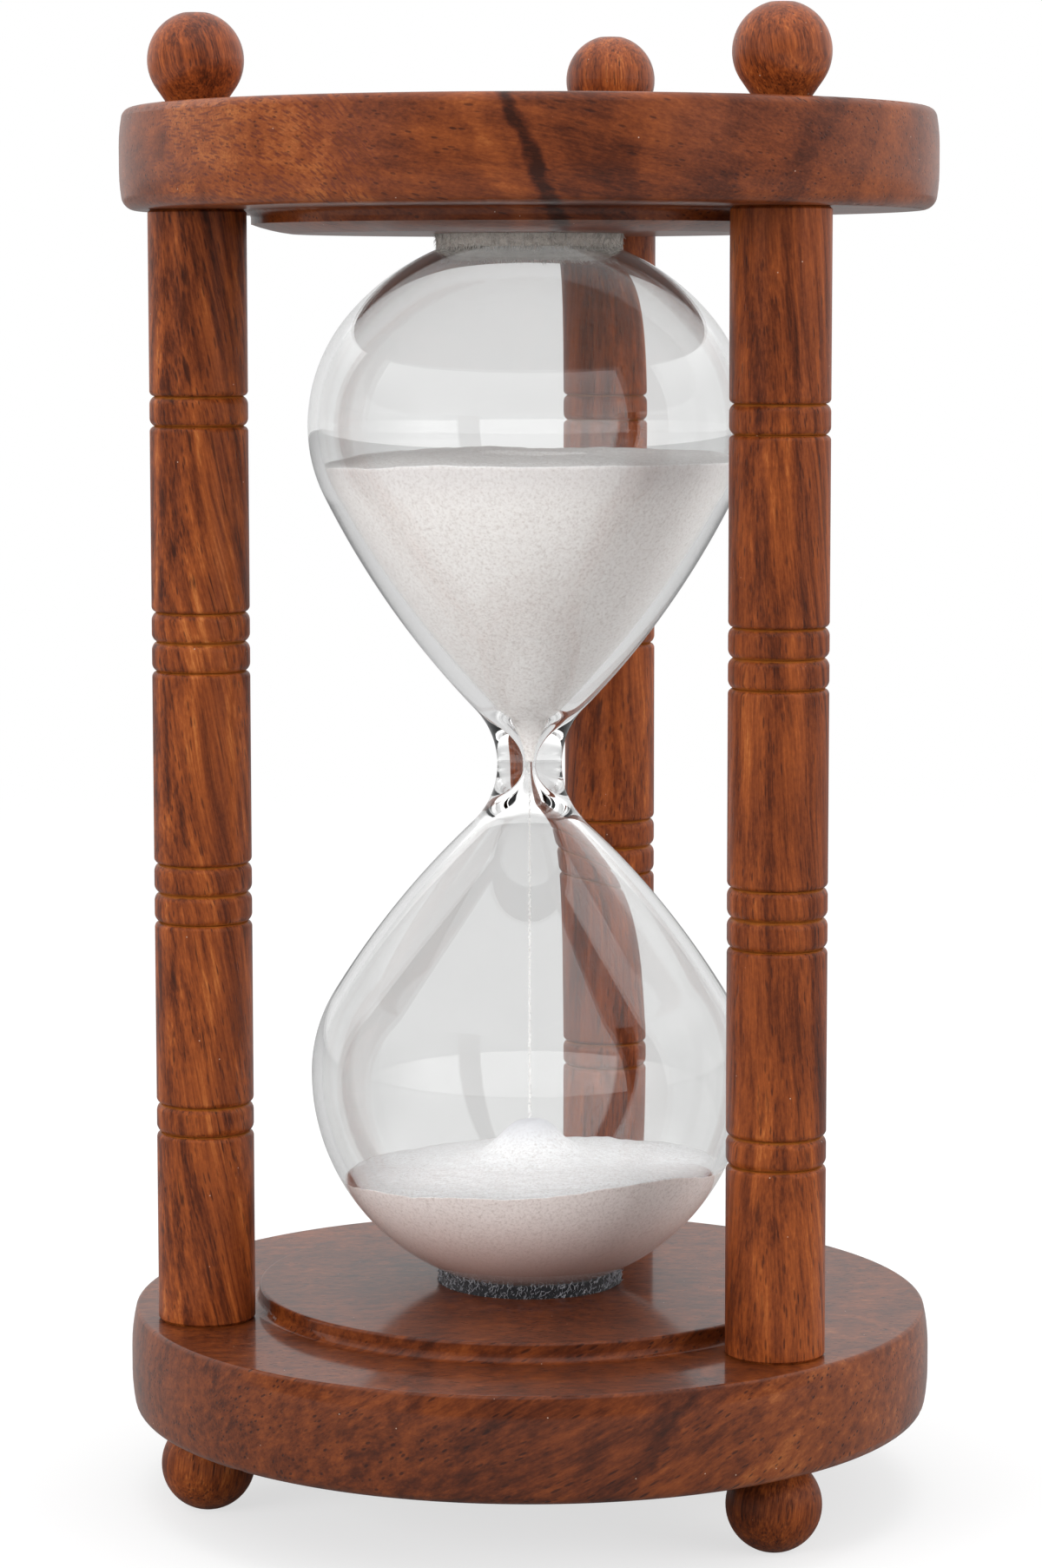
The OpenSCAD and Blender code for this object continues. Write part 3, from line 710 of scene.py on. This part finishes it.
# Waves in the sand: a seed, waves per mm and depth.
LOWER_WAVES = [(3.1, 0.11, 0.4), (8.4, 0.5, 0.07)]
HEAP_WAVES = [(5.2, 0.7, 0.16)]
UPPER_WAVES = [(1.7, 0.12, 0.3), (6.3, 0.6, 0.12)]
FRONT_HUMP = 1.3
HUMP_X = 13
HUMP_Y = -17
HUMP_SPREAD = 90
DIP_SLOPE = math.tan(math.radians(32))
DIP_RADIUS = 7.0
DIP_ROUND = 0.8
UPPER_RADIUS = 24
UPPER_DROP = 0.25
LEFT_DROP = 1.1
LEFT_START = 0.45
EDGE_DROP = 0.35
EDGE_END = 25.5
EDGE_POWER = 10
STREAM_GRAINS = 1100
STREAM_RADIUS = 0.18
GRAIN_SIZES = (0.05, 0.09)
SAND_FOOT = box_mm("lower_sand")[0].z
LOWER_LEVEL = box_mm("lower_sand")[1].z - HEAP_HEIGHT
THROAT_Z, UPPER_LEVEL = (corner.z for corner in box_mm("upper_sand"))
SAND_WHITES = [(0.32, srgb(222, 217, 214)), (0.5, srgb(249, 248, 247)), (0.66, srgb(255, 255, 254))]
SAND_PATCH = srgb(240, 235, 232)
GRAINS_PER_MM = 2.6
GRAIN_RELIEF = 0.06
PATCHES_PER_MM = 0.35
PATCH_SHARE = 0.15
# Painted bounce light and shade at the foot of the lower heap.
PAINTED_BOUNCE_SAND = srgb(214, 178, 166)
PAINTED_BOUNCE_HEIGHTS = (2.0, 14.0)
PAINTED_BOUNCE_SHARE = 0.8
# Painted shade that greys the brightly lit top of the lower heap.
HEAP_SHADE_GREY = srgb(212, 212, 216)
HEAP_SHADE_RADII = (1.5, 5.5)
HEAP_SHADE_TOP = (60, 61)
# Painted shade on the sand against the glass just below the upper level.
LEVEL_SHADE_GREY = srgb(182, 178, 180)
LEVEL_SHADE_START = (0.4, 0.9)
LEVEL_SHADE_END = (1.2, 6.5)
LEVEL_SHADE_SHARE = 0.4
UP_RANGE = (0.2, 0.6)
# Painted light and shade: tints for the lower sand that faces up, the lower sand against the glass and the
# upper sand against the glass.
LOWER_TOP_SHADING_TINT = (0.88, 0.89, 0.91, 1)
LOWER_WALL_SHADING_TINT = (0.88, 0.81, 0.79, 1)
UPPER_WALL_SHADING_TINT = (1.0, 0.97, 0.955, 1)


def sand_material(name, top_shading_tint=grey(1.0), wall_shading_tint=grey(1.0), heap_shade_share=0.75):
    """White sand. The two tints are painted light and shade: one for sand that faces up, one for sand
    against the glass. The last argument is how much painted shade greys the top of the lower heap."""
    material, s, surface = new_material(name)
    place = s.place_mm()
    height = s.dot(place, (0, 0, 1))
    grains = s.noise(place, GRAINS_PER_MM, 3, 0.8)
    patches = s.step(s.noise(place, PATCHES_PER_MM, 3, 0.6), 0.4, 0.7)
    colour = s.mix(s.times(patches, PATCH_SHARE), s.ramp(grains, SAND_WHITES), SAND_PATCH)
    # Painted bounce light and shade: the foot of the lower heap is warmer and darker, as if lit by the wood
    # below.
    painted_bounce = s.fall(s.minus(height, SAND_FOOT), *PAINTED_BOUNCE_HEIGHTS)
    colour = s.mix(s.times(painted_bounce, PAINTED_BOUNCE_SHARE), colour, PAINTED_BOUNCE_SAND)
    # Painted shade: the lower heap is greyer near its axis, which tones down its lit top.
    heap_shade = s.times(s.fall(s.off_axis(place), *HEAP_SHADE_RADII), s.fall(height, *HEAP_SHADE_TOP))
    colour = s.mix(s.times(heap_shade, heap_shade_share), colour, HEAP_SHADE_GREY)
    # Painted shade: the sand against the glass is darker just below the upper level.
    faces_up = s.step(s.dot(s.node("NewGeometry").outputs["Normal"], (0, 0, 1)), *UP_RANGE)
    depth = s.minus(UPPER_LEVEL, height)
    level_shade = s.times(s.fall(depth, *LEVEL_SHADE_END), s.step(depth, *LEVEL_SHADE_START))
    level_shade = s.times(level_shade, s.rest(faces_up))
    colour = s.mix(s.times(level_shade, LEVEL_SHADE_SHARE), colour, LEVEL_SHADE_GREY)
    # Painted light and shade: sand that faces up and sand against the glass are tinted apart.
    colour = s.mix(1.0, colour, s.mix(faces_up, wall_shading_tint, top_shading_tint), "MULTIPLY")
    s.feed(surface.inputs["Base Color"], colour)
    s.feed(surface.inputs["Normal"], s.bump(grains, GRAIN_RELIEF * MM))
    set_surface(surface, roughness=0.85, specular_ior_level=0.25)
    return material


def around(angle, radius, z):
    return (radius * math.cos(angle), radius * math.sin(angle), z)


def rim_at(angle, curve, height):
    """Where the surface height(x, y) meets the glass: radius and z."""
    radii = np.array([radius for radius, z in curve])
    levels = np.array([z for radius, z in curve])
    tops = np.array([height(radius * math.cos(angle), radius * math.sin(angle)) for radius in radii])
    over = int(np.argmax(levels > tops))
    under = over - 1
    above_under = tops[under] - levels[under]
    share = above_under / (above_under + levels[over] - tops[over])
    return (radii[under] + share * (radii[over] - radii[under]),
            levels[under] + share * (levels[over] - levels[under]))


def fill(name, node, material, curve, height, floor):
    """Sand in a bulb. Its surface follows height(x, y), its wall follows curve, the inside of the glass from
    the sand's end upwards, and its end is floor, a list of (radius, z) that starts on the axis."""
    radii = [radius for radius, z in curve]
    levels = [z for radius, z in curve]
    angles = [2 * math.pi * i / SAND_TURNS for i in range(SAND_TURNS)]
    rims = [rim_at(angle, curve, height) for angle in angles]
    rows = [ring_of(radius, z, SAND_TURNS) for radius, z in floor]
    for ring in range(SAND_RINGS, -1, -1):
        share = ring / SAND_RINGS
        row = []
        for angle, (rim_radius, rim_z) in zip(angles, rims):
            z = rim_z + share * (levels[0] - rim_z)
            row.append(around(angle, float(np.interp(z, levels, radii)), z))
        rows.append(row)
    for ring in range(SAND_RINGS - 1, 0, -1):
        share = ring / SAND_RINGS
        row = []
        for angle, (rim_radius, rim_z) in zip(angles, rims):
            x, y, z = around(angle, share * rim_radius, 0.0)
            row.append((x, y, height(x, y)))
        rows.append(row)
    rows.append([(0.0, 0.0, height(0, 0))])
    points, faces = skin(rows)
    add_piece(name, points, faces, material, "white_sand", [node])


def waves(x, y, layers):
    """Gentle waves in a sand surface."""
    total = 0.0
    for seed, scale, depth in layers:
        total += depth * noise.noise(Vector((x * scale + seed, y * scale, seed)))
    return total


def lower_height(x, y):
    """The lower sand: a heap under the stream on a broad, tilted rise, higher at the front right."""
    radius = math.hypot(x, y)
    tilt = LOWER_TILT * (x * math.cos(LOWER_FALL) + y * math.sin(LOWER_FALL))
    plain = LOWER_LEVEL + BROAD_RISE * max(0.0, 1 - radius / BROAD_RADIUS) - tilt
    heap = (HEAP_HEIGHT - BROAD_RISE) / (1 + (radius / HEAP_RADIUS) ** HEAP_POWER)
    hump = FRONT_HUMP * math.exp(-((x - HUMP_X) ** 2 + (y - HUMP_Y) ** 2) / HUMP_SPREAD)
    rough = waves(x, y, LOWER_WAVES) + waves(x, y, HEAP_WAVES) * min(1.0, radius / HEAP_SMOOTH)
    return plain + heap + hump + rough


def upper_height(x, y):
    """The upper sand: level, with a dip over the neck, a drop to the left and a rounded edge."""
    radius = math.hypot(x, y)
    dip = DIP_SLOPE * (math.hypot(DIP_RADIUS, DIP_ROUND) - math.hypot(min(radius, DIP_RADIUS), DIP_ROUND))
    left = LEFT_DROP * max(0.0, -x / UPPER_RADIUS - LEFT_START)
    edge = EDGE_DROP * (min(radius, EDGE_END) / UPPER_RADIUS) ** EDGE_POWER
    return UPPER_LEVEL - UPPER_DROP - left - edge - dip + waves(x, y, UPPER_WAVES)


def make_stream(material):
    """The falling stream: loose grains that spread a little as they fall."""
    rng = random.Random(7)
    low, high = box_mm("sand_stream")
    corners = ((1, 0, 0), (0, 1, 0), (-1, 0, 0), (0, -1, 0), (0, 0, 1.5), (0, 0, -1.5))
    points, faces = [], []
    for _ in range(STREAM_GRAINS):
        fallen = rng.random() ** 0.8
        angle = rng.uniform(0, 2 * math.pi)
        off = STREAM_RADIUS * math.sqrt(rng.random()) * (0.6 + 0.4 * fallen)
        size = rng.uniform(*GRAIN_SIZES)
        centre = Vector(around(angle, off, high.z + (low.z - high.z) * fallen))
        start = len(points)
        points += [centre + size * Vector(corner) for corner in corners]
        for i in range(4):
            following = (i + 1) % 4
            faces.append((start + i, start + following, start + 4))
            faces.append((start + following, start + i, start + 5))
    add_piece("sand_falling", points, faces, material, "white_sand", ["sand_stream"])


def make_sand():
    plug_z = box_mm("fill_stopper")[1].z + SAND_GAP
    floor = [(0.0, plug_z), (LOWER["end"], plug_z)]
    curve = below(bulb_curve(LOWER, True, SAND_TOUCH))[::-1]
    material = sand_material("sand_below", LOWER_TOP_SHADING_TINT, LOWER_WALL_SHADING_TINT)
    fill("sand_below", "lower_sand", material, curve, lower_height, floor)
    floor = [(0.0, THROAT_Z)]
    curve = [point for point in above(bulb_curve(UPPER, True, SAND_GAP)) if point[1] >= THROAT_Z]
    material = sand_material("sand_above", wall_shading_tint=UPPER_WALL_SHADING_TINT)
    fill("sand_above", "upper_sand", material, curve, upper_height, floor)
    make_stream(sand_material("sand_falling", heap_shade_share=0.0))


# ---- the felt rings ----
FELT_WIDTH = 3.4
FELT_TURNS = 144
FELT_INSET = 0.22
FELT_EDGE = 0.5
FELT_REACH = 12
FELT_SWELL = 0.14
TUFT_DEPTH = 0.12
TUFT_SIDES = 3
TUFT_RINGS = 5
TUFT_SWING = 5.0
# Colours from the depth of the felt to its tips.
TOP_FELT = (srgb(176, 170, 162), srgb(226, 219, 210), srgb(246, 241, 234))
TOP_FIBRES = (srgb(214, 208, 200), srgb(246, 242, 236), srgb(254, 253, 250))
BOTTOM_FELT = (srgb(16, 17, 20), srgb(30, 31, 35), srgb(52, 52, 56))
BOTTOM_FIBRES = (srgb(84, 86, 94), srgb(160, 161, 168), srgb(232, 232, 236))


def felt_material(name, dark, light, tips):
    material, s, surface = new_material(name)
    place = s.place_mm()
    blend = s.add(s.times(s.noise(place, 2.4, 3, 0.6), 0.55), s.times(s.noise(place, 7.0, 2, 0.6), 0.45))
    s.feed(surface.inputs["Base Color"], s.ramp(blend, [(0.30, dark), (0.52, light), (0.70, tips)]))
    s.feed(surface.inputs["Normal"], s.bump(s.noise(place, 6.0, 3, 0.7), 0.1 * MM))
    set_surface(surface, roughness=0.95, specular_ior_level=0.1, sheen_weight=0.25, sheen_roughness=0.6)
    return material


def strands(roots, ways, lengths, widths, curl, phases):
    """Tapered curled strands as one mesh: arrays of roots and unit ways, one length, width and phase for
    each strand, and how far they curl."""
    count = len(roots)
    side = np.cross(ways, np.array([0.31, 0.45, 0.84]))
    side /= np.linalg.norm(side, axis=1, keepdims=True)
    other = np.cross(ways, side)
    points = np.zeros((count, TUFT_RINGS, TUFT_SIDES, 3))
    for ring in range(TUFT_RINGS):
        share = ring / (TUFT_RINGS - 1)
        swing = phases + TUFT_SWING * share
        middle = roots + ways * (lengths * share)[:, None]
        middle += side * (curl * share * np.cos(swing))[:, None]
        middle += other * (curl * share * np.sin(swing))[:, None]
        girth = widths * (1.0 - 0.75 * share ** 2)
        for corner in range(TUFT_SIDES):
            angle = 2 * math.pi * corner / TUFT_SIDES
            outward = side * math.cos(angle) + other * math.sin(angle)
            points[:, ring, corner] = middle + outward * girth[:, None]
    index = np.arange(count * TUFT_RINGS * TUFT_SIDES).reshape(count, TUFT_RINGS, TUFT_SIDES)
    following = np.roll(index, -1, axis=2)
    quads = np.stack([index[:, :-1], following[:, :-1], following[:, 1:], index[:, 1:]], axis=-1)
    ends = np.concatenate([index[:, 0, ::-1], index[:, -1]])
    return points.reshape(-1, 3).tolist(), quads.reshape(-1, 4).tolist() + ends.tolist()


class FeltRing:
    """The measures of a felt ring: from its seat on the wood to its free edge, against the glass."""

    def __init__(self, node, glass_curve):
        low, high = box_mm(node)
        self.node = node
        self.inner = high.x - FELT_WIDTH
        self.body = high.x - FELT_INSET
        faces_down = abs(low.z - NECK_Z) < abs(high.z - NECK_Z)
        self.seat, free = (high.z, low.z) if faces_down else (low.z, high.z)
        self.toward = math.copysign(1.0, free - self.seat)
        # The glass near its end, from the inside edge of the ring outwards.
        self.near = sorted((r, z) for r, z in glass_curve if abs(z - self.seat) < FELT_REACH)
        self.rim = self.nearer(free, self.glass_z(self.body - FELT_EDGE))

    def nearer(self, first, second):
        """Of two heights, the one nearer to the seat."""
        return min(first * self.toward, second * self.toward) * self.toward

    def glass_z(self, radius):
        """The height of the felt's face against the glass."""
        radii, levels = zip(*self.near)
        return float(np.interp(radius, radii, levels)) - self.toward * SAND_GAP

    def outline(self):
        points = [
            (self.inner, self.seat),
            (self.body, self.seat),
            (self.body, self.rim - self.toward * 0.5),
            (self.body - 0.2, self.rim - self.toward * 0.12),
        ]
        for radius in np.linspace(self.body - FELT_EDGE, self.inner, 8):
            points.append((radius, self.nearer(self.rim, self.glass_z(radius))))
        return points

    def solid(self):
        """Points and faces of the ring's uneven body."""
        points, faces = lathe(self.outline(), FELT_TURNS)
        swollen = []
        for x, y, z in points:
            radius = math.hypot(x, y)
            swell = 0.0
            if radius > self.inner + 1:
                swell = FELT_SWELL * noise.noise(Vector((x * 1.4, y * 1.4, z * 1.1)))
            swollen.append((x * (1 + swell / radius), y * (1 + swell / radius), z))
        return swollen, faces

    def fibres(self, count, length, width, curl, upright):
        """Points and faces of the loose fibres on its outside. upright, from 0 to 1, is how much they stand
        along the axis."""
        rng = np.random.default_rng(11)
        angles = rng.uniform(0, 2 * math.pi, count)
        share = rng.uniform(0, 1, count)
        outward = np.stack([np.cos(angles), np.sin(angles), np.zeros(count)], axis=1)
        sideways = np.stack([-np.sin(angles), np.cos(angles), np.zeros(count)], axis=1)
        up = np.array([0, 0, 1.0])
        levels = self.seat + self.toward * abs(self.rim - self.seat) * share
        roots = outward * (self.body - TUFT_DEPTH) + up * levels[:, None]
        ways = outward * rng.uniform(0.05, 0.45, count)[:, None]
        ways += sideways * rng.normal(0, 0.9 * (1 - upright) + 0.1, count)[:, None]
        ends = self.toward * rng.choice([-1, 1], count, p=[0.35, 0.65])
        ways += up * (ends * (0.35 + upright))[:, None]
        ways /= np.linalg.norm(ways, axis=1, keepdims=True)
        lengths = rng.uniform(0.5, 1.0, count) * length
        # A strand that would reach into the wood is turned the other way.
        tips = roots[:, 2] + ways[:, 2] * lengths
        ways[(self.seat - tips) * self.toward > 0, 2] *= -1
        widths = rng.uniform(0.6, 1.2, count) * width
        phases = rng.uniform(0, 2 * math.pi, count)
        return strands(roots, ways, lengths, widths, curl, phases)


def make_felt():
    """Light felt at the top of the glass, dark felt with light fibres at its foot."""
    ring = FeltRing("felt_ring_top", above(bulb_curve(UPPER, False)))
    material = felt_material("felt_top_body", *TOP_FELT)
    add_piece("felt_above_body", *ring.solid(), material, "grey_felt", [ring.node])
    material = felt_material("felt_top_fibres", *TOP_FIBRES)
    fibres = ring.fibres(count=2200, length=1.6, width=0.075, curl=0.15, upright=0.8)
    add_piece("felt_above_fibres", *fibres, material, "grey_felt")
    ring = FeltRing("felt_ring_bottom", below(bulb_curve(LOWER, False)))
    material = felt_material("felt_bottom_body", *BOTTOM_FELT)
    add_piece("felt_below_body", *ring.solid(), material, "grey_felt", [ring.node])
    material = felt_material("felt_bottom_fibres", *BOTTOM_FIBRES)
    fibres = ring.fibres(count=2000, length=1.2, width=0.075, curl=0.25, upright=0.55)
    add_piece("felt_below_fibres", *fibres, material, "grey_felt")


# ---- the stopper ----
def dress_stopper():
    material, s, surface = new_material("stopper")
    place = s.place_mm()
    colour = s.ramp(s.noise(place, 0.9, 3), [(0.3, srgb(176, 172, 162)), (0.7, srgb(212, 208, 198))])
    s.feed(surface.inputs["Base Color"], colour)
    s.feed(surface.inputs["Normal"], s.bump(s.noise(place, 5.0, 2), 0.02 * MM))
    set_surface(surface, roughness=0.45)
    dress("fill_stopper", material)


# ---- the scene ----
bpy.context.scene.view_settings.view_transform = "Standard"
make_camera()
make_world()
make_floor()
softbox("softbox_left", place=(-1.0, -0.7, 0.36), width=0.8, height=0.45, power=8.2)
softbox("softbox_right", place=(1.1, -0.5, 0.34), width=1.1, height=0.45, power=7.8)
softbox("softbox_top", place=(0.0, 0.1, 1.2), width=0.8, height=0.6, power=6.0)
dress_wood()
dress_stopper()
make_glass()
make_sand()
make_felt()
